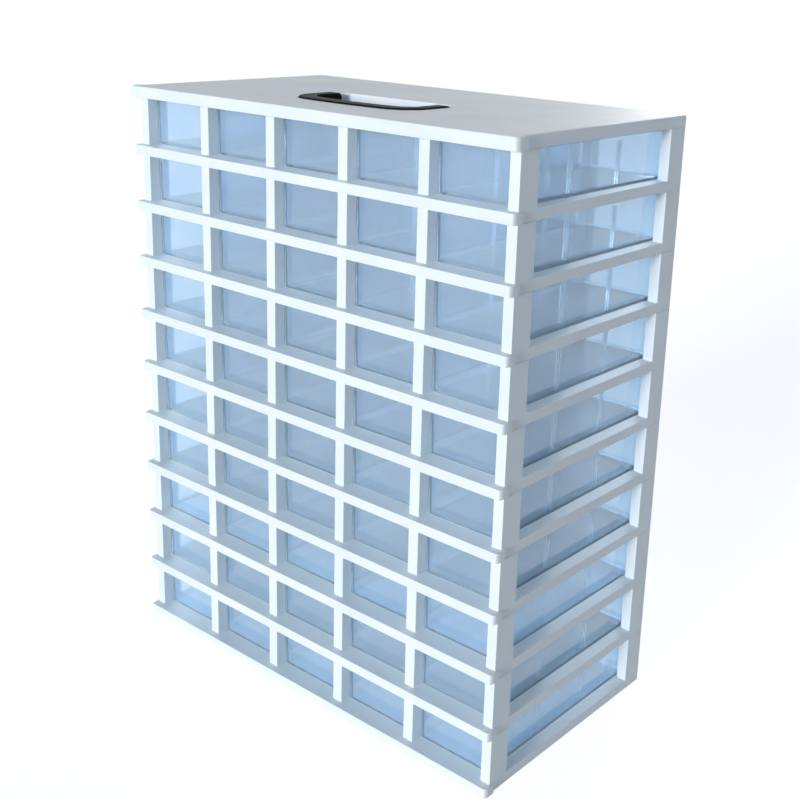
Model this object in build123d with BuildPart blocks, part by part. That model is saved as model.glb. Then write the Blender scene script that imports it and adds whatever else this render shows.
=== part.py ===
"""Parts bin cabinet: stacked tiers of clear drawers under a cover with a fold-down carry handle.

Millimetres. X runs across the front, Y to the back, Z up. The origin is at the middle of the
footprint, on the surface that the cabinet stands on.
"""

from build123d import *
from math import atan, degrees
import os

# ---------------------------------------------------------------- driving dimensions

# The grid of bays
columns = 5
tiers = 10
bay_width = 65.4
bay_height = 38.2
body_depth = 201.0

# Tier mouldings
deck_height = 7.8
deck_skin = 2.2
corner_width = 8.4
corner_depth = 20.0
divider_width = 9.2
divider_depth = 12.0
stop_thickness = 3.0
stop_height = 3.0
stop_inset = 12.0

# Front lip of every tier
lip_reach = 6.8
lip_overhang = 1.8
lip_return = 3.0
lip_radius = 4.0

# Pegs that locate one tier on the next
peg_width = 4.4
peg_length = 11.0
peg_height = 3.0
peg_clearance = 0.15

# Top cover
cover_height = 9.0
cover_skin = 2.4
cover_reach = 8.8
cover_overhang = 3.0
cover_bevel = 1.2
cover_radius = 4.5

# Recess for the handle
recess_depth = 7.2
recess_wall = 1.8
recess_gap = 1.6
recess_rear_room = 14.0
recess_rear_radius = 15.0
recess_bevel = 0.8
pivot_setback = 83.9
boss_length = 6.0
boss_width = 10.0

# Carry handle
handle_width = 122.0
handle_reach = 48.5
handle_bow = 5.0
handle_corner = 22.0
handle_thickness = 8.0
handle_rest_gap = 0.3
arm_width = 10.5
grip_width = 13.0
handle_bevel = 1.6
trunnion_radius = 2.0
trunnion_length = 5.5
trunnion_clearance = 0.08

# Drawers
drawer_headroom = 2.2
drawer_setback = 8.6
drawer_wall = 1.5
drawer_floor = 2.0
drawer_side_gap = 0.7
drawer_draft = 0.9
drawer_stop_gap = 0.3
front_thickness = 2.4
front_gap = 1.0
compartments = 3
guide_width = 3.9
guide_proud = 1.1
guide_drop = 3.0

# ---------------------------------------------------------------- sizes that follow

bay_pitch = bay_width + divider_width
body_width = columns * bay_width + (columns - 1) * divider_width + 2 * corner_width
tier_pitch = deck_height + bay_height
stack_height = tiers * tier_pitch
cover_top = stack_height + cover_height
overall_depth = body_depth + cover_reach

front_y = cover_reach - overall_depth / 2
rear_y = front_y + body_depth
middle_y = (front_y + rear_y) / 2
stop_y = rear_y - stop_inset

bay_xs = [(i - (columns - 1) / 2) * bay_pitch for i in range(columns)]
divider_xs = [(i - (columns - 2) / 2) * bay_pitch for i in range(columns - 1)]
corner_x = (body_width - corner_width) / 2
corner_points = [
    (side * corner_x, y)
    for side in (-1, 1)
    for y in (front_y + corner_depth / 2, rear_y - corner_depth / 2)
]
front_posts = [(x, front_y + divider_depth / 2) for x in divider_xs]
rear_posts = [(x, rear_y - stop_inset / 2) for x in divider_xs]

pocket_front = front_y + divider_depth
pocket_depth = stop_y - pocket_front

pivot_y = front_y + pivot_setback
recess_floor = cover_top - recess_depth
pivot_z = recess_floor + handle_rest_gap + handle_thickness / 2
recess_half = handle_width / 2 + recess_gap
pan_bottom = recess_floor - recess_wall

drawer_length = body_depth - drawer_setback - stop_inset - drawer_stop_gap
drawer_height = bay_height - drawer_headroom
drawer_width = bay_width - 2 * drawer_side_gap
draft_angle = degrees(atan(drawer_draft / drawer_height))
cavity_width = drawer_width - 2 * drawer_wall
cavity_height = drawer_height - drawer_floor
cavity_length = drawer_length - front_thickness - drawer_wall
cavity_narrow = cavity_width - 2 * drawer_draft * cavity_height / drawer_height
guide_pitch = cavity_length / compartments


# ---------------------------------------------------------------- tiers


def body_outline():
    """The plan of the cabinet behind its lips."""
    with Locations((0, middle_y)):
        Rectangle(body_width, body_depth)


def lip_outline(reach, overhang):
    """The plan of a front lip: a bar that stands out past the posts."""
    with Locations((0, front_y + lip_return)):
        Rectangle(
            body_width + 2 * overhang,
            reach + lip_return,
            align=(Align.CENTER, Align.MAX),
        )


def build_tier(level):
    """One moulded tier: a deck cored from below, its posts and its drawer stop."""
    base = Plane.XY.offset(level * tier_pitch)
    deck = base.offset(deck_height)
    with BuildPart() as tier:
        with BuildSketch(base) as plan:
            body_outline()
            lip_outline(lip_reach, lip_overhang)
            fillet(plan.vertices().group_by(Axis.Y)[0], lip_radius)
        extrude(amount=deck_height)
        with BuildSketch(base):
            with Locations(*[(x, pocket_front + pocket_depth / 2) for x in bay_xs]):
                Rectangle(bay_width, pocket_depth)
        extrude(amount=deck_height - deck_skin, mode=Mode.SUBTRACT)

        # A low bar across the back stops the drawers, and posts carry the tier above
        with BuildSketch(deck):
            with Locations((0, stop_y + stop_thickness / 2)):
                Rectangle(body_width, stop_thickness)
        extrude(amount=stop_height)
        with BuildSketch(deck):
            with Locations(*corner_points):
                Rectangle(corner_width, corner_depth)
            with Locations(*front_posts):
                Rectangle(divider_width, divider_depth)
            with Locations(*rear_posts):
                Rectangle(divider_width, stop_inset)
        extrude(amount=bay_height)

        # Pegs on the corner posts, and sockets for the pegs of the tier below
        with BuildSketch(base.offset(tier_pitch)):
            with Locations(*corner_points):
                Rectangle(peg_width, peg_length)
        extrude(amount=peg_height)
        with BuildSketch(base):
            peg_sockets()
        extrude(amount=peg_height + peg_clearance, mode=Mode.SUBTRACT)
    return tier.part


def peg_sockets():
    """The plan of the four sockets that take the pegs of the tier below."""
    with Locations(*corner_points):
        Rectangle(peg_width + 2 * peg_clearance, peg_length + 2 * peg_clearance)


# ---------------------------------------------------------------- handle and cover


def bail_outline(half_width, front, rear):
    """A plan with straight sides, a straight back and a bowed front."""
    with BuildLine() as outline:
        Line((-half_width, front + handle_bow), (-half_width, rear))
        Line((-half_width, rear), (half_width, rear))
        Line((half_width, rear), (half_width, front + handle_bow))
        ThreePointArc(
            (-half_width, front + handle_bow), (0, front), (half_width, front + handle_bow)
        )
    return make_face(outline.edges())


def build_cover():
    """The top cover: a cored plate with a front lip and a pan that the handle folds into."""
    underside = Plane.XY.offset(stack_height)
    handle_front = pivot_y - handle_reach
    with BuildPart() as cover:
        with BuildSketch(underside) as plan:
            body_outline()
            lip_outline(cover_reach, cover_overhang)
            fillet(plan.vertices().group_by(Axis.Y)[0], cover_radius)
        extrude(amount=cover_height)
        chamfer(cover.faces().sort_by(Axis.Z)[-1].outer_wire().edges(), cover_bevel)

        # Cored from below, with bars over the posts
        with BuildSketch(underside):
            with Locations(*[(x, pocket_front + pocket_depth / 2) for x in bay_xs]):
                Rectangle(bay_width, pocket_depth)
        extrude(amount=cover_height - cover_skin, mode=Mode.SUBTRACT)

        # The pan and its two pivot bosses
        with BuildSketch(Plane.XY.offset(pan_bottom)) as pan:
            bail_outline(recess_half, handle_front - recess_gap, pivot_y + recess_rear_room)
            fillet(pan.vertices().group_by(Axis.Y)[0], handle_corner + recess_gap)
            fillet(pan.vertices().group_by(Axis.Y)[-1], recess_rear_radius)
            offset(amount=recess_wall)
        extrude(amount=cover_top - cover_bevel - pan_bottom)
        with BuildSketch(Plane.XY.offset(pan_bottom)):
            with Locations((0, pivot_y)):
                Rectangle(2 * (recess_half + boss_length), boss_width)
        extrude(amount=cover_top - cover_bevel - pan_bottom)
        with BuildSketch(Plane.XY.offset(recess_floor)) as recess:
            bail_outline(recess_half, handle_front - recess_gap, pivot_y + recess_rear_room)
            fillet(recess.vertices().group_by(Axis.Y)[0], handle_corner + recess_gap)
            fillet(recess.vertices().group_by(Axis.Y)[-1], recess_rear_radius)
        extrude(amount=recess_depth, mode=Mode.SUBTRACT)
        rim = cover.faces().sort_by(Axis.Z)[-1].inner_wires()[0]
        chamfer(rim.edges(), recess_bevel)
        bore_half = handle_width / 2 + trunnion_length + trunnion_clearance
        with BuildSketch(Plane.YZ.offset(-bore_half)):
            with Locations((pivot_y, pivot_z)):
                Circle(trunnion_radius + trunnion_clearance)
        extrude(amount=2 * bore_half, mode=Mode.SUBTRACT)

        with BuildSketch(underside):
            peg_sockets()
        extrude(amount=peg_height + peg_clearance, mode=Mode.SUBTRACT)
    return cover.part


def build_handle():
    """The carry handle: a bowed bail with round arm ends and a trunnion on each arm."""
    half = handle_width / 2
    handle_front = pivot_y - handle_reach
    with BuildPart() as handle:
        with BuildSketch(Plane.XY.offset(pivot_z - handle_thickness / 2)) as bail:
            bail_outline(half, handle_front, pivot_y)
            fillet(bail.vertices().group_by(Axis.Y)[0], handle_corner)
            with BuildSketch(mode=Mode.SUBTRACT) as gap:
                bail_outline(half - arm_width, handle_front + grip_width, pivot_y)
                fillet(gap.vertices().group_by(Axis.Y)[0], handle_corner - arm_width)
        extrude(amount=handle_thickness)
        rounded = handle.edges().filter_by(Plane.XY).filter_by_position(
            Axis.Y, handle_front - 1, pivot_y - 0.1
        )
        chamfer(rounded, handle_bevel)
        with BuildSketch(Plane.YZ.offset(-half)):
            with Locations((pivot_y, pivot_z)):
                Circle(handle_thickness / 2)
        extrude(amount=arm_width)
        with BuildSketch(Plane.YZ.offset(half - arm_width)):
            with Locations((pivot_y, pivot_z)):
                Circle(handle_thickness / 2)
        extrude(amount=arm_width)
        for start in (-half - trunnion_length, half - arm_width):
            with BuildSketch(Plane.YZ.offset(start)):
                with Locations((pivot_y, pivot_z)):
                    Circle(trunnion_radius)
            extrude(amount=trunnion_length + arm_width)
    return handle.part


# ---------------------------------------------------------------- drawers


def build_drawer(column, level):
    """One open drawer: a drafted tray, a flat front and divider guides."""
    bay = Plane(
        origin=(bay_xs[column], front_y + drawer_setback, level * tier_pitch + deck_height)
    )
    across = Plane(origin=bay.origin, x_dir=(1, 0, 0), z_dir=(0, -1, 0))
    low = (Align.CENTER, Align.MIN)
    with BuildPart() as drawer:
        # The tray is one drafted section, cored from above
        with BuildSketch(across.offset(-front_thickness)):
            Trapezoid(drawer_width, drawer_height, 90 + draft_angle, align=low)
        extrude(amount=front_thickness - drawer_length)
        with BuildSketch(across.offset(-front_thickness)):
            with Locations((0, drawer_floor)):
                Trapezoid(cavity_width, cavity_height, 90 + draft_angle, align=low)
        extrude(amount=-cavity_length, mode=Mode.SUBTRACT)

        # The front is a flat plate that stops short of the deck
        with BuildSketch(across):
            with Locations((0, front_gap)):
                Rectangle(drawer_width, drawer_height - front_gap, align=low)
        extrude(amount=-front_thickness)

        # Guides on the side walls mark every joint between compartments
        with BuildSketch(bay.offset(drawer_floor)):
            with Locations(*guide_points()):
                Rectangle(2 * guide_proud, guide_width)
        extrude(amount=cavity_height - guide_drop)
    return drawer.part


def guide_points():
    """The middles of the divider guides, at the feet of the side walls."""
    joints = [front_thickness + guide_pitch * (i + 1) for i in range(compartments - 1)]
    return [(side * cavity_narrow / 2, joint) for side in (-1, 1) for joint in joints]


# ---------------------------------------------------------------- files


def save(part, name):
    part.label = name
    export_step(part, f"parts/{name}.step")


os.makedirs("parts", exist_ok=True)
for first in range(0, tiers, 2):
    pair = Compound(children=[build_tier(level) for level in (first, first + 1)])
    save(pair, f"tier_frames_{first + 1}_{first + 2}")
save(build_cover(), "top_cover")
save(build_handle(), "carry_handle")
for level in range(tiers):
    for column in range(columns):
        save(build_drawer(column, level), f"drawer_{level + 1:02d}_{column + 1}")
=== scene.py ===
"""Parts bin cabinet: the visual model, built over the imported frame.

Metres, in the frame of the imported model: X across the front, Y to the back, Z up.
"""

import math

import bpy
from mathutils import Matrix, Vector


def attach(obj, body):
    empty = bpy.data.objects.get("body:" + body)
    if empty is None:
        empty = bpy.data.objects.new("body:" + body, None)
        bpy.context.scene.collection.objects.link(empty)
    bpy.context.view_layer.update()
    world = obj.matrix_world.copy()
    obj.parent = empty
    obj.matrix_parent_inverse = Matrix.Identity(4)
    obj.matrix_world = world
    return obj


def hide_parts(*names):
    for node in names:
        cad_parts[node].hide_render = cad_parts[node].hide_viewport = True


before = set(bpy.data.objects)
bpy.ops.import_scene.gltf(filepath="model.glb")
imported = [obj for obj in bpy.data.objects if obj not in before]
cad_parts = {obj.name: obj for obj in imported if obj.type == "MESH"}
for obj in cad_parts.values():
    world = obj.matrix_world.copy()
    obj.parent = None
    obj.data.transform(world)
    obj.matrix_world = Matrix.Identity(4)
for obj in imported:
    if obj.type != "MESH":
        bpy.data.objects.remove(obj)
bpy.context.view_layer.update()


# ---------------------------------------------------------------- sizes, as in the solids

MM = 0.001

COLUMNS = 5
TIERS = 10
BAY_WIDTH = 65.4 * MM
BAY_HEIGHT = 38.2 * MM
BODY_DEPTH = 201 * MM

DECK = 7.8 * MM
DECK_SKIN = 2.2 * MM
CORNER_WIDTH = 8.4 * MM
CORNER_DEPTH = 20 * MM
DIVIDER_WIDTH = 9.2 * MM
DIVIDER_DEPTH = 12 * MM
STOP_THICKNESS = 3 * MM
STOP_HEIGHT = 3 * MM
STOP_INSET = 12 * MM
LIP_REACH = 6.8 * MM
LIP_OVERHANG = 1.8 * MM
LIP_RETURN = 3 * MM
LIP_RADIUS = 4 * MM

COVER = 9 * MM
COVER_SKIN = 2.4 * MM
COVER_REACH = 8.8 * MM
COVER_OVERHANG = 3 * MM
COVER_RADIUS = 4.5 * MM
RECESS_DEPTH = 7.2 * MM
RECESS_WALL = 1.8 * MM
RECESS_GAP = 1.6 * MM
RECESS_REAR_ROOM = 14 * MM
RECESS_REAR_RADIUS = 15 * MM
PAN_LIFT = 0.6 * MM
PAN_SINK = 1 * MM
PIVOT_SETBACK = 83.9 * MM
BOSS_LENGTH = 6 * MM
BOSS_WIDTH = 10 * MM
BOSS_LIFT = 1.1 * MM
BOSS_SINK = 1.2 * MM
BORE_GAP = 0.08 * MM
BORE_END_GAP = 0.15 * MM

HANDLE_WIDTH = 122 * MM
HANDLE_REACH = 48.5 * MM
HANDLE_BOW = 5 * MM
HANDLE_CORNER = 22 * MM
HANDLE_THICKNESS = 8 * MM
HANDLE_REST_GAP = 0.3 * MM
ARM_WIDTH = 10.5 * MM
GRIP_WIDTH = 13 * MM
TRUNNION_RADIUS = 2 * MM
TRUNNION_LENGTH = 5.5 * MM
TRUNNION_ROOT = 3 * MM

DRAWER_HEIGHT = 36 * MM
DRAWER_SETBACK = 8.6 * MM
DRAWER_WALL = 1.5 * MM
DRAWER_FLOOR = 2 * MM
DRAWER_SIDE_GAP = 0.7 * MM
DRAWER_DRAFT = 0.9 * MM
DRAWER_STOP_GAP = 0.3 * MM
FRONT_THICKNESS = 2.4 * MM
FRONT_GAP = 1 * MM
COMPARTMENTS = 3
RIB_WIDTH = 1.2 * MM
RIB_PROUD = 1.1 * MM
RIB_DROP = 3 * MM
RIB_ROOT = 1.2 * MM
RIB_FOOT = 0.5 * MM
SLOT_WIDTH = 1.5 * MM

BAY_PITCH = BAY_WIDTH + DIVIDER_WIDTH
BODY_WIDTH = COLUMNS * BAY_WIDTH + (COLUMNS - 1) * DIVIDER_WIDTH + 2 * CORNER_WIDTH
HALF_WIDTH = BODY_WIDTH / 2
TIER_PITCH = DECK + BAY_HEIGHT
STACK = TIERS * TIER_PITCH
TOP = STACK + COVER
FRONT = COVER_REACH - (BODY_DEPTH + COVER_REACH) / 2
REAR = FRONT + BODY_DEPTH
STOP = REAR - STOP_INSET
BAYS = [(i - (COLUMNS - 1) / 2) * BAY_PITCH for i in range(COLUMNS)]
DIVIDERS = [(i - (COLUMNS - 2) / 2) * BAY_PITCH for i in range(COLUMNS - 1)]
PIVOT_Y = FRONT + PIVOT_SETBACK
PIVOT_Z = TOP - RECESS_DEPTH + HANDLE_REST_GAP + HANDLE_THICKNESS / 2
DRAWER_LENGTH = BODY_DEPTH - DRAWER_SETBACK - STOP_INSET - DRAWER_STOP_GAP
DRAWER_WIDTH = BAY_WIDTH - 2 * DRAWER_SIDE_GAP

# Radii of edges that the solids leave sharp or chamfer
TIER_EDGE = 0.45 * MM
COVER_EDGE = 0.4 * MM
COVER_TOP_EDGE = 1.2 * MM
HANDLE_EDGE = 1.8 * MM
TRUNNION_EDGE = 0.3 * MM
DRAWER_EDGE = 0.3 * MM
DRAWER_CORNER = 2 * MM

# How near counts as touching, and how far a cutting tool runs out past what it cuts
NEAR = 0.01 * MM
RUN_OUT = 2 * MM
GAP_RUN_OUT = 5 * MM

# A point off every line of symmetry, from which the parts of a mesh are put in order
SORTING_POINT = (0.71, 0.53, 0.37)


# ---------------------------------------------------------------- modelling by hand, in code


def rest_hands():
    """Leaves nothing selected."""
    bpy.ops.object.select_all(action="DESELECT")


def work_on(piece):
    """Makes one piece the selected and active one."""
    rest_hands()
    piece.select_set(True)
    bpy.context.view_layer.objects.active = piece


def block(name, low, high):
    """A box between two corners, its place in its mesh."""
    rest_hands()
    middle = [(a + b) / 2 for a, b in zip(low, high)]
    bpy.ops.mesh.primitive_cube_add(size=1, location=middle)
    piece = bpy.context.object
    piece.name = piece.data.name = name
    piece.scale = [b - a for a, b in zip(low, high)]
    bpy.ops.object.transform_apply(location=True, rotation=True, scale=True)
    return piece


def choose(piece, kind, test):
    """Opens a piece in edit mode with the faces or edges that pass a test selected."""
    work_on(piece)
    bpy.context.tool_settings.mesh_select_mode = (False, kind == "edges", kind == "faces")
    bpy.ops.object.mode_set(mode="EDIT")
    bpy.ops.mesh.select_all(action="DESELECT")
    bpy.ops.object.mode_set(mode="OBJECT")
    points = piece.data.vertices
    if kind == "faces":
        for face in piece.data.polygons:
            face.select = test(face.center, face.normal)
    else:
        for edge in piece.data.edges:
            a, b = (points[i].co for i in edge.vertices)
            edge.select = test((a + b) / 2, b - a)
    bpy.ops.object.mode_set(mode="EDIT")


def done():
    """Leaves edit mode."""
    bpy.ops.object.mode_set(mode="OBJECT")


def score(piece, axis, places):
    """Cuts a piece's faces along planes square to one axis."""
    work_on(piece)
    bpy.ops.object.mode_set(mode="EDIT")
    normal = [float(axis == i) for i in range(3)]
    for place in places:
        bpy.ops.mesh.select_all(action="SELECT")
        bpy.ops.mesh.bisect(plane_co=[place * n for n in normal], plane_no=normal)
    done()


def put_in_order(piece):
    """Sorts a mesh, which some operators leave in another order each run."""
    work_on(piece)
    bpy.context.scene.cursor.location = SORTING_POINT
    bpy.ops.object.mode_set(mode="EDIT")
    bpy.ops.mesh.select_all(action="SELECT")
    bpy.ops.mesh.sort_elements(type="CURSOR_DISTANCE", elements={"VERT", "EDGE", "FACE"})
    done()
    for edge in piece.data.edges:
        edge.vertices = sorted(edge.vertices)


def pull(piece, test, by):
    """Extrudes the faces that pass a test."""
    choose(piece, "faces", test)
    bpy.ops.mesh.extrude_region_move(TRANSFORM_OT_translate={"value": by})
    done()
    put_in_order(piece)


def round_edges(piece, test, radius, steps):
    """Rounds the edges that pass a test."""
    choose(piece, "edges", test)
    bpy.ops.mesh.bevel(offset=radius, segments=steps, affect="EDGES")
    done()


def finish_with(piece, kind, **settings):
    """Adds one modifier to a piece and applies it."""
    work_on(piece)
    modifier = piece.modifiers.new(kind.lower(), kind)
    for key, value in settings.items():
        setattr(modifier, key, value)
    bpy.ops.object.modifier_apply(modifier=modifier.name)


def carve(piece, tool, operation="DIFFERENCE"):
    """Cuts a tool out of a piece, or melts it into it, and clears the tool away."""
    finish_with(piece, "BOOLEAN", operation=operation, solver="EXACT", object=tool)
    bpy.data.objects.remove(tool)


def soften(piece, radius, steps=2, angle=30):
    """Breaks the sharp edges of a moulding and shades it smooth."""
    work_on(piece)
    bpy.ops.object.mode_set(mode="EDIT")
    bpy.ops.mesh.select_all(action="SELECT")
    bpy.ops.mesh.remove_doubles(threshold=NEAR)
    done()
    put_in_order(piece)
    bpy.ops.object.mode_set(mode="EDIT")
    bpy.ops.mesh.dissolve_limited(angle_limit=math.radians(0.5))
    done()
    finish_with(
        piece,
        "BEVEL",
        width=radius,
        segments=steps,
        limit_method="ANGLE",
        angle_limit=math.radians(angle),
        miter_outer="MITER_ARC",
    )
    smooth(piece)


def smooth(piece):
    """Shades the rounded edges smooth and keeps the large faces between them flat."""
    work_on(piece)
    bpy.ops.object.shade_smooth_by_angle(angle=math.radians(35))
    finish_with(piece, "WEIGHTED_NORMAL", keep_sharp=True, weight=100)


def copy_of(piece, name, by):
    """A copy with its own mesh, moved in the mesh."""
    work_on(piece)
    bpy.ops.object.duplicate()
    twin = bpy.context.object
    twin.name = twin.data.name = name
    bpy.ops.object.mode_set(mode="EDIT")
    bpy.ops.mesh.select_all(action="SELECT")
    bpy.ops.transform.translate(value=by)
    done()
    return twin


# ---------------------------------------------------------------- materials


def linear(code):
    """The linear colour of an sRGB hex value."""
    shares = [int(code[i : i + 2], 16) / 255 for i in (1, 3, 5)]
    return [c / 12.92 if c <= 0.04045 else ((c + 0.055) / 1.055) ** 2.4 for c in shares] + [1]


def new_material(name):
    """An empty node material."""
    material = bpy.data.materials.new(name)
    material.use_nodes = True
    material.node_tree.nodes.clear()
    return material


def add(owner, kind, settings=None, inputs=None, links=None):
    """Adds a node with its settings, socket values and links from other nodes' outputs."""
    node = owner.node_tree.nodes.new(kind)
    for key, value in (settings or {}).items():
        setattr(node, key, value)
    for key, value in (inputs or {}).items():
        node.inputs[key].default_value = value
    for key, output in (links or {}).items():
        owner.node_tree.links.new(output, node.inputs[key])
    return node


def polystyrene_white():
    """Injection-moulded polystyrene, white with a cold tint: faint flow marks and a fine skin."""
    m = new_material("white_polystyrene_moulded")
    place = add(m, "ShaderNodeTexCoord")
    # Flow marks: drifts of tone some 60 mm long, seen only as a slight unevenness
    drift = add(
        m,
        "ShaderNodeTexNoise",
        inputs={"Scale": 1 / (60 * MM), "Detail": 3.0, "Roughness": 0.5},
        links={"Vector": place.outputs["Object"]},
    )
    tone = add(
        m,
        "ShaderNodeMapRange",
        inputs={"From Min": 0.3, "From Max": 0.7},
        links={"Value": drift.outputs["Fac"]},
    )
    colour = add(
        m,
        "ShaderNodeMix",
        {"data_type": "RGBA"},
        inputs={"A": linear("#DDE8F0"), "B": linear("#E6EFF5")},
        links={"Factor": tone.outputs["Result"]},
    )
    # Moulded skin: spark-eroded grain of 0.8 mm, drawn coarser than real so that it shows
    skin = add(
        m,
        "ShaderNodeTexNoise",
        inputs={"Scale": 1 / (0.8 * MM), "Detail": 2.0},
        links={"Vector": place.outputs["Object"]},
    )
    gloss = add(
        m,
        "ShaderNodeMapRange",
        inputs={"To Min": 0.44, "To Max": 0.56},
        links={"Value": skin.outputs["Fac"]},
    )
    bump = add(
        m,
        "ShaderNodeBump",
        inputs={"Strength": 0.12, "Distance": 0.05 * MM},
        links={"Height": skin.outputs["Fac"]},
    )
    body = add(
        m,
        "ShaderNodeBsdfPrincipled",
        inputs={"IOR": 1.55},
        links={
            "Base Color": colour.outputs["Result"],
            "Roughness": gloss.outputs["Result"],
            "Normal": bump.outputs["Normal"],
        },
    )
    add(m, "ShaderNodeOutputMaterial", links={"Surface": body.outputs["BSDF"]})
    return m


def polystyrene_clear():
    """Clear polystyrene with a light blue tint: thin glossy walls, slightly wavy from the mould."""
    m = new_material("clear_blue_polystyrene")
    place = add(m, "ShaderNodeTexCoord")
    path = add(m, "ShaderNodeLightPath")
    # Sink waves some 18 mm long bend what shows in and through the walls
    wave = add(
        m,
        "ShaderNodeTexNoise",
        inputs={"Scale": 1 / (18 * MM), "Detail": 2.0},
        links={"Vector": place.outputs["Object"]},
    )
    bump = add(
        m,
        "ShaderNodeBump",
        inputs={"Strength": 0.12, "Distance": 0.4 * MM},
        links={"Height": wave.outputs["Fac"]},
    )
    tone = add(
        m,
        "ShaderNodeMix",
        {"data_type": "RGBA"},
        inputs={"A": linear("#CCE4F8"), "B": linear("#DFF0FC")},
        links={"Factor": wave.outputs["Fac"]},
    )
    # Glossy and see-through, with a little haze in it
    wall = add(
        m,
        "ShaderNodeBsdfPrincipled",
        inputs={"IOR": 1.59, "Roughness": 0.05, "Transmission Weight": 0.85},
        links={"Base Color": tone.outputs["Result"], "Normal": bump.outputs["Normal"]},
    )
    # The lamps' light goes straight through and takes on some of the tint
    through = add(m, "ShaderNodeBsdfTransparent", inputs={"Color": linear("#F7FBFE")})
    look = add(
        m,
        "ShaderNodeMixShader",
        links={
            "Fac": path.outputs["Is Shadow Ray"],
            1: wall.outputs["BSDF"],
            2: through.outputs["BSDF"],
        },
    )
    add(m, "ShaderNodeOutputMaterial", links={"Surface": look.outputs["Shader"]})
    return m


def nylon_black():
    """Black moulded nylon: nearly black and matt, with a fine grain that breaks its glints."""
    m = new_material("black_nylon_moulded")
    place = add(m, "ShaderNodeTexCoord")
    grain = add(
        m,
        "ShaderNodeTexNoise",
        inputs={"Scale": 1 / (1.2 * MM), "Detail": 3.0},
        links={"Vector": place.outputs["Object"]},
    )
    tone = add(
        m,
        "ShaderNodeMix",
        {"data_type": "RGBA"},
        inputs={"A": linear("#050608"), "B": linear("#0B0C0F")},
        links={"Factor": grain.outputs["Fac"]},
    )
    gloss = add(
        m,
        "ShaderNodeMapRange",
        inputs={"To Min": 0.50, "To Max": 0.64},
        links={"Value": grain.outputs["Fac"]},
    )
    bump = add(
        m,
        "ShaderNodeBump",
        inputs={"Strength": 0.2, "Distance": 0.08 * MM},
        links={"Height": grain.outputs["Fac"]},
    )
    # Its dull skin reflects less than the index alone gives
    body = add(
        m,
        "ShaderNodeBsdfPrincipled",
        inputs={"IOR": 1.53, "Specular IOR Level": 0.06},
        links={
            "Base Color": tone.outputs["Result"],
            "Roughness": gloss.outputs["Result"],
            "Normal": bump.outputs["Normal"],
        },
    )
    add(m, "ShaderNodeOutputMaterial", links={"Surface": body.outputs["BSDF"]})
    return m


WHITE = polystyrene_white()
CLEAR = polystyrene_clear()
BLACK = nylon_black()


def dress(piece, material, slot, body, *nodes):
    """Gives a finished piece its material and its place in the frame. The slot name is not used."""
    piece.data.materials.clear()
    piece.data.materials.append(material)
    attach(piece, body)
    if nodes:
        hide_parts(*nodes)


# ---------------------------------------------------------------- tiers


def add_lip(piece, thickness, reach, overhang, radius):
    """Draws the front lip out of a plate and rounds its ends."""
    pull(piece, lambda c, n: n.y < -0.9 and c.y < FRONT + NEAR, (0, -reach, 0))
    for side in (-1, 1):
        pull(
            piece,
            lambda c, n: n.x * side > 0.9
            and c.x * side > HALF_WIDTH - NEAR
            and c.y < FRONT + LIP_RETURN,
            (side * overhang, 0, 0),
        )
    round_edges(
        piece,
        lambda c, d: abs(d.z) > 0.9 * thickness
        and c.y < FRONT - reach + NEAR
        and abs(c.x) > HALF_WIDTH + overhang - NEAR,
        radius,
        6,
    )


def make_tier():
    """The lowest tier: a cored deck with its lip, posts drawn up from it, and the stop."""
    tier = block("tier_01", (-HALF_WIDTH, FRONT, 0), (HALF_WIDTH, REAR, DECK))
    divider_sides = [x + s * DIVIDER_WIDTH / 2 for x in DIVIDERS for s in (-1, 1)]
    inner = HALF_WIDTH - CORNER_WIDTH
    score(tier, 1, [FRONT + LIP_RETURN])
    add_lip(tier, DECK, LIP_REACH, LIP_OVERHANG, LIP_RADIUS)
    score(tier, 0, [-inner, inner] + divider_sides)
    score(
        tier,
        1,
        [
            FRONT,
            FRONT + DIVIDER_DEPTH,
            FRONT + CORNER_DEPTH,
            REAR - CORNER_DEPTH,
            STOP,
            STOP + STOP_THICKNESS,
        ],
    )

    def under_bay(c, n):
        in_bay = any(abs(c.x - x) < BAY_WIDTH / 2 for x in BAYS)
        return n.z < -0.9 and in_bay and FRONT + DIVIDER_DEPTH < c.y < STOP

    def post(c, n):
        corner = inner < abs(c.x) < HALF_WIDTH and (
            FRONT < c.y < FRONT + CORNER_DEPTH or c.y > REAR - CORNER_DEPTH
        )
        divider = any(abs(c.x - x) < DIVIDER_WIDTH / 2 for x in DIVIDERS) and (
            FRONT < c.y < FRONT + DIVIDER_DEPTH or c.y > STOP
        )
        return n.z > 0.9 and (corner or divider)

    def stop(c, n):
        return n.z > 0.9 and STOP < c.y < STOP + STOP_THICKNESS

    pull(tier, under_bay, (0, 0, DECK - DECK_SKIN))
    pull(tier, lambda c, n: post(c, n) or stop(c, n), (0, 0, STOP_HEIGHT))
    pull(tier, post, (0, 0, BAY_HEIGHT - STOP_HEIGHT))
    soften(tier, TIER_EDGE)
    return tier


first_tier = make_tier()
for level in range(TIERS):
    name = f"tier_{level + 1:02d}"
    tier = copy_of(first_tier, name, (0, 0, level * TIER_PITCH)) if level else first_tier
    # The frame holds the tiers two to a node, and the lower of the two replaces it
    nodes = [] if level % 2 else [f"tier_frames_{level + 1}_{level + 2}"]
    dress(tier, WHITE, "white_moulding", "cabinet", *nodes)


# ---------------------------------------------------------------- cover


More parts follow.
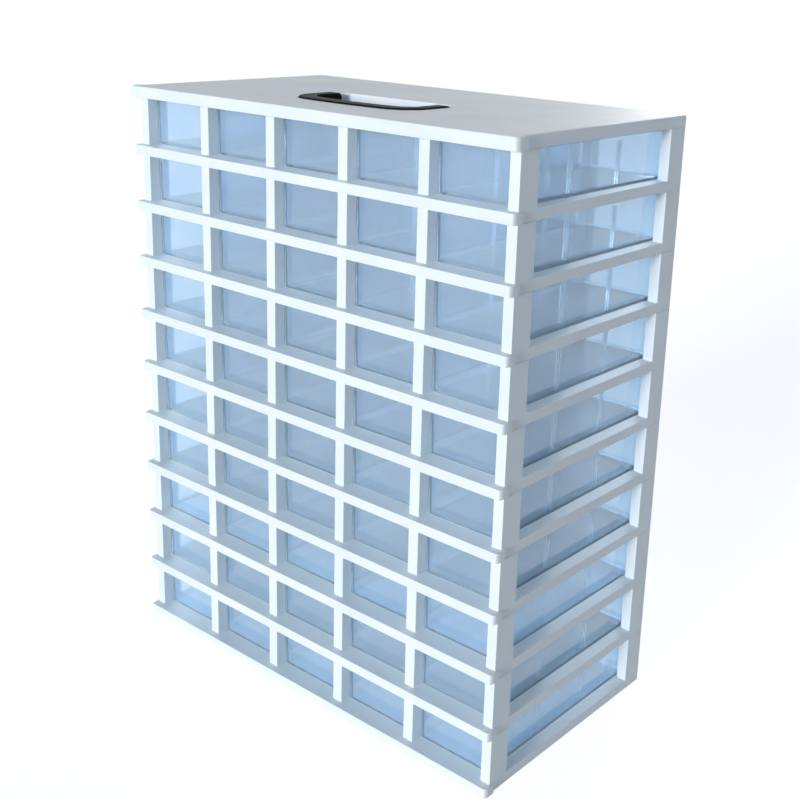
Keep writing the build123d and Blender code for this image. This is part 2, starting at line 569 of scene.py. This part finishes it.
def bail_plan(name, half, front, rear, bottom, top, corner, rear_corner=0):
    """A block with a bowed front and rounded plan corners."""
    piece = block(name, (-half, front, bottom), (half, rear, top))
    upright = 0.9 * (top - bottom)
    round_edges(piece, lambda c, d: abs(d.z) > upright and c.y < front + NEAR, corner, 8)
    if rear_corner:
        round_edges(piece, lambda c, d: abs(d.z) > upright and c.y > rear - NEAR, rear_corner, 8)
    # Slices across the block let the bow follow a curve, full at the front and none at the rear
    score(piece, 0, [half * i / 8 for i in range(-6, 7)])
    for point in piece.data.vertices:
        share = (rear - point.co.y) / (rear - front)
        point.co.y += HANDLE_BOW * (point.co.x / half) ** 2 * share
    return piece


def rod(name, x, length, radius):
    """A round bar on the handle's axis, its place in its mesh."""
    rest_hands()
    bpy.ops.mesh.primitive_cylinder_add(
        radius=radius,
        depth=length,
        vertices=20,
        location=(x, PIVOT_Y, PIVOT_Z),
        rotation=(0, math.pi / 2, 0),
    )
    piece = bpy.context.object
    piece.name = piece.data.name = name
    bpy.ops.object.transform_apply(location=True, rotation=True, scale=True)
    return piece


def make_cover():
    """The top cover: a lipped plate, cored from below, with the pan for the handle."""
    half = HANDLE_WIDTH / 2 + RECESS_GAP
    front = PIVOT_Y - HANDLE_REACH - RECESS_GAP
    rear = PIVOT_Y + RECESS_REAR_ROOM
    corner = HANDLE_CORNER + RECESS_GAP
    cover = block("cover", (-HALF_WIDTH, FRONT, STACK), (HALF_WIDTH, REAR, TOP))
    score(cover, 1, [FRONT + LIP_RETURN])
    add_lip(cover, COVER, COVER_REACH, COVER_OVERHANG, COVER_RADIUS)
    round_edges(
        cover,
        lambda c, d: c.z > TOP - NEAR
        and (
            abs(c.x) > HALF_WIDTH - NEAR
            or c.y > REAR - NEAR
            or c.y < FRONT + LIP_RETURN - NEAR
        ),
        COVER_TOP_EDGE,
        3,
    )
    for x in BAYS:
        pocket = block(
            "pocket",
            (x - BAY_WIDTH / 2, FRONT + DIVIDER_DEPTH, STACK - RUN_OUT),
            (x + BAY_WIDTH / 2, STOP, TOP - COVER_SKIN),
        )
        carve(cover, pocket)

    # The pan and its bearings melt into the plate at heights where no two faces lie in one plane
    pan = bail_plan(
        "pan",
        half + RECESS_WALL,
        front - RECESS_WALL,
        rear + RECESS_WALL,
        STACK + PAN_LIFT,
        TOP - PAN_SINK,
        corner + RECESS_WALL,
        RECESS_REAR_RADIUS + RECESS_WALL,
    )
    carve(cover, pan, "UNION")
    boss = block(
        "boss",
        (-half - BOSS_LENGTH, PIVOT_Y - BOSS_WIDTH / 2, STACK + BOSS_LIFT),
        (half + BOSS_LENGTH, PIVOT_Y + BOSS_WIDTH / 2, TOP - BOSS_SINK),
    )
    carve(cover, boss, "UNION")
    recess = bail_plan(
        "recess",
        half,
        front,
        rear,
        TOP - RECESS_DEPTH,
        TOP + RUN_OUT,
        corner,
        RECESS_REAR_RADIUS,
    )
    carve(cover, recess)
    bore_length = HANDLE_WIDTH + 2 * (TRUNNION_LENGTH + BORE_END_GAP)
    carve(cover, rod("bore", 0, bore_length, TRUNNION_RADIUS + BORE_GAP))
    soften(cover, COVER_EDGE)
    return cover


dress(make_cover(), WHITE, "white_moulding", "cabinet", "top_cover")


# ---------------------------------------------------------------- carry handle


def make_handle():
    """The bail: a bowed bar with two arms, round all over, on two trunnions."""
    half = HANDLE_WIDTH / 2
    front = PIVOT_Y - HANDLE_REACH
    bottom = PIVOT_Z - HANDLE_THICKNESS / 2
    top = PIVOT_Z + HANDLE_THICKNESS / 2
    rear = PIVOT_Y + HANDLE_THICKNESS / 2
    handle = bail_plan("carry_handle_bail", half, front, rear, bottom, top, HANDLE_CORNER)
    gap = bail_plan(
        "gap",
        half - ARM_WIDTH,
        front + GRIP_WIDTH,
        rear + GAP_RUN_OUT,
        bottom - RUN_OUT,
        top + RUN_OUT,
        HANDLE_CORNER - ARM_WIDTH,
    )
    carve(handle, gap)
    # The arms end in rounds that stop just short of meeting
    round_edges(
        handle,
        lambda c, d: c.y > rear - NEAR and abs(d.x) > 0.5 * ARM_WIDTH,
        0.49 * HANDLE_THICKNESS,
        5,
    )
    soften(handle, HANDLE_EDGE, steps=3, angle=40)
    for side in (-1, 1):
        middle = side * (half + (TRUNNION_LENGTH - TRUNNION_ROOT) / 2)
        trunnion = rod("trunnion", middle, TRUNNION_LENGTH + TRUNNION_ROOT, TRUNNION_RADIUS)
        soften(trunnion, TRUNNION_EDGE)
        carve(handle, trunnion, "UNION")
    smooth(handle)
    return handle


dress(make_handle(), BLACK, "black_moulding", "handle", "carry_handle")


# ---------------------------------------------------------------- drawers


def make_drawer():
    """The drawer of the first bay: a drafted tray with a flat front and divider slots."""
    x = BAYS[0]
    front = FRONT + DRAWER_SETBACK
    back = front + DRAWER_LENGTH
    floor = DECK + DRAWER_FLOOR
    rim = DECK + DRAWER_HEIGHT
    half = DRAWER_WIDTH / 2
    tray = block("drawer_1_1", (x - half, front, DECK), (x + half, back, rim))
    choose(tray, "faces", lambda c, n: n.z < -0.9)
    bpy.ops.transform.resize(
        value=(1 - DRAWER_DRAFT / half, 1, 1), center_override=(x, 0, DECK)
    )
    done()
    choose(tray, "faces", lambda c, n: n.z > 0.9)
    bpy.ops.mesh.inset(thickness=DRAWER_WALL)
    bpy.ops.mesh.extrude_region_move(TRANSFORM_OT_translate={"value": (0, 0, floor - rim)})
    bpy.ops.transform.resize(
        value=(1 - DRAWER_DRAFT / half * (rim - floor) / DRAWER_HEIGHT, 1, 1),
        center_override=(x, 0, floor),
    )
    done()
    put_in_order(tray)
    margin = DRAWER_WALL / 3
    round_edges(
        tray,
        lambda c, d: abs(d.z) > 0.9 * (rim - floor)
        and abs(c.x - x) < half - margin
        and front + margin < c.y < back - margin,
        DRAWER_CORNER,
        4,
    )

    # The front plate stands out to the full width and stops short of the deck
    lower = block(
        "lower",
        (x - half - RUN_OUT, front - RUN_OUT, DECK - RUN_OUT),
        (x + half + RUN_OUT, front + FRONT_THICKNESS, DECK + FRONT_GAP),
    )
    carve(tray, lower)
    plate = block(
        "plate",
        (x - half, front, DECK + FRONT_GAP),
        (x + half, front + FRONT_THICKNESS, rim),
    )
    carve(tray, plate, "UNION")

    # Pairs of ribs with a slot between them, at the joints between compartments
    cavity = DRAWER_LENGTH - FRONT_THICKNESS - DRAWER_WALL
    face = half - DRAWER_WALL - DRAWER_DRAFT
    for joint in range(1, COMPARTMENTS):
        slot = front + FRONT_THICKNESS + cavity * joint / COMPARTMENTS
        for way, side in ((-1, -1), (-1, 1), (1, -1), (1, 1)):
            middle = slot + way * (SLOT_WIDTH + RIB_WIDTH) / 2
            ends = sorted(x + side * (face + reach) for reach in (-RIB_PROUD, RIB_ROOT))
            rib = block(
                "rib",
                (ends[0], middle - RIB_WIDTH / 2, floor - RIB_FOOT),
                (ends[1], middle + RIB_WIDTH / 2, rim - RIB_DROP),
            )
            carve(tray, rib, "UNION")
    soften(tray, DRAWER_EDGE)
    return tray


first_drawer = make_drawer()
for level in range(TIERS):
    for column in range(COLUMNS):
        node = f"drawer_{level + 1:02d}_{column + 1}"
        name = f"drawer_{level + 1}_{column + 1}"
        by = (column * BAY_PITCH, 0, level * TIER_PITCH)
        drawer = copy_of(first_drawer, name, by) if level or column else first_drawer
        dress(drawer, CLEAR, "clear_blue", node + "_body", node)


# ---------------------------------------------------------------- floor, light and camera


def looking(owner):
    """One for rays that look for the background: the camera's, and those sent on by gloss and glass."""
    path = add(owner, "ShaderNodeLightPath")
    straight = add(
        owner,
        "ShaderNodeMath",
        {"operation": "ADD"},
        links={0: path.outputs["Is Camera Ray"], 1: path.outputs["Is Transmission Ray"]},
    )
    either = add(
        owner,
        "ShaderNodeMath",
        {"operation": "ADD", "use_clamp": True},
        links={0: straight.outputs["Value"], 1: path.outputs["Is Glossy Ray"]},
    )
    return either.outputs["Value"]


def floor_paint():
    """Matt white studio paper that keeps the shadow and reads white to the camera."""
    m = new_material("studio_paper")
    paper = add(m, "ShaderNodeBsdfDiffuse", inputs={"Color": linear("#E2E5E8")})
    share = add(
        m,
        "ShaderNodeMapRange",
        inputs={"To Max": 0.7},
        links={"Value": looking(m)},
    )
    glow = add(
        m,
        "ShaderNodeEmission",
        inputs={"Color": linear("#FFFFFF")},
        links={"Strength": share.outputs["Result"]},
    )
    both = add(
        m,
        "ShaderNodeAddShader",
        links={0: paper.outputs["BSDF"], 1: glow.outputs["Emission"]},
    )
    add(m, "ShaderNodeOutputMaterial", links={"Surface": both.outputs["Shader"]})
    return m


# 120 m of floor, so that no edge of it shows
rest_hands()
bpy.ops.mesh.primitive_plane_add(size=120, location=(0, 0, 0))
paper = bpy.context.object
paper.name = "floor"
paper.data.materials.append(floor_paint())


def studio_air():
    """Soft cold light all round, which rays that look for the background see as white."""
    air = bpy.data.worlds.new("studio")
    air.use_nodes = True
    air.node_tree.nodes.clear()
    # The walls of the studio are bright and its ceiling is dim
    place = add(air, "ShaderNodeTexCoord")
    split = add(air, "ShaderNodeSeparateXYZ", links={"Vector": place.outputs["Generated"]})
    fall = add(
        air,
        "ShaderNodeMapRange",
        inputs={"From Max": 0.6, "To Min": 0.8, "To Max": 0.2},
        links={"Value": split.outputs["Z"]},
    )
    soft = add(
        air,
        "ShaderNodeBackground",
        inputs={"Color": linear("#DDE6F0")},
        links={"Strength": fall.outputs["Result"]},
    )
    white = add(air, "ShaderNodeBackground", inputs={"Color": linear("#FFFFFF")})
    blend = add(
        air,
        "ShaderNodeMixShader",
        links={
            "Fac": looking(air),
            1: soft.outputs["Background"],
            2: white.outputs["Background"],
        },
    )
    add(air, "ShaderNodeOutputWorld", links={"Surface": blend.outputs["Shader"]})
    return air


bpy.context.scene.world = studio_air()


def sun(name, azimuth, height, strength, spread):
    """A wide soft white lamp far away. Azimuth 0 shines from the front, 90 from the right."""
    lamp = bpy.data.lights.new(name, "SUN")
    lamp.energy = strength
    lamp.angle = math.radians(spread)
    holder = bpy.data.objects.new(name, lamp)
    bpy.context.scene.collection.objects.link(holder)
    a, h = math.radians(azimuth), math.radians(height)
    towards = Vector((math.sin(a) * math.cos(h), -math.cos(a) * math.cos(h), math.sin(h)))
    holder.rotation_mode = "QUATERNION"
    holder.rotation_quaternion = towards.to_track_quat("Z", "Y")


sun("key", 5, 9, 2.6, 16)
sun("back", 200, 7, 2.2, 20)

# The photograph's viewpoint, with as little shift as its crop allows
camera_data = bpy.data.cameras.new("camera")
camera_data.sensor_width = 36
camera_data.lens = 54.115
camera_data.shift_x = -0.05
camera_data.shift_y = -0.10
camera = bpy.data.objects.new("camera", camera_data)
bpy.context.scene.collection.objects.link(camera)
camera.location = (0.62432, -0.68820, 0.56067)
camera.rotation_euler = [math.radians(a) for a in (74.018, -1.841, 40.379)]
camera_data.clip_start, camera_data.clip_end = 0.01, 200
bpy.context.scene.camera = camera
bpy.context.scene.view_settings.view_transform = "Standard"
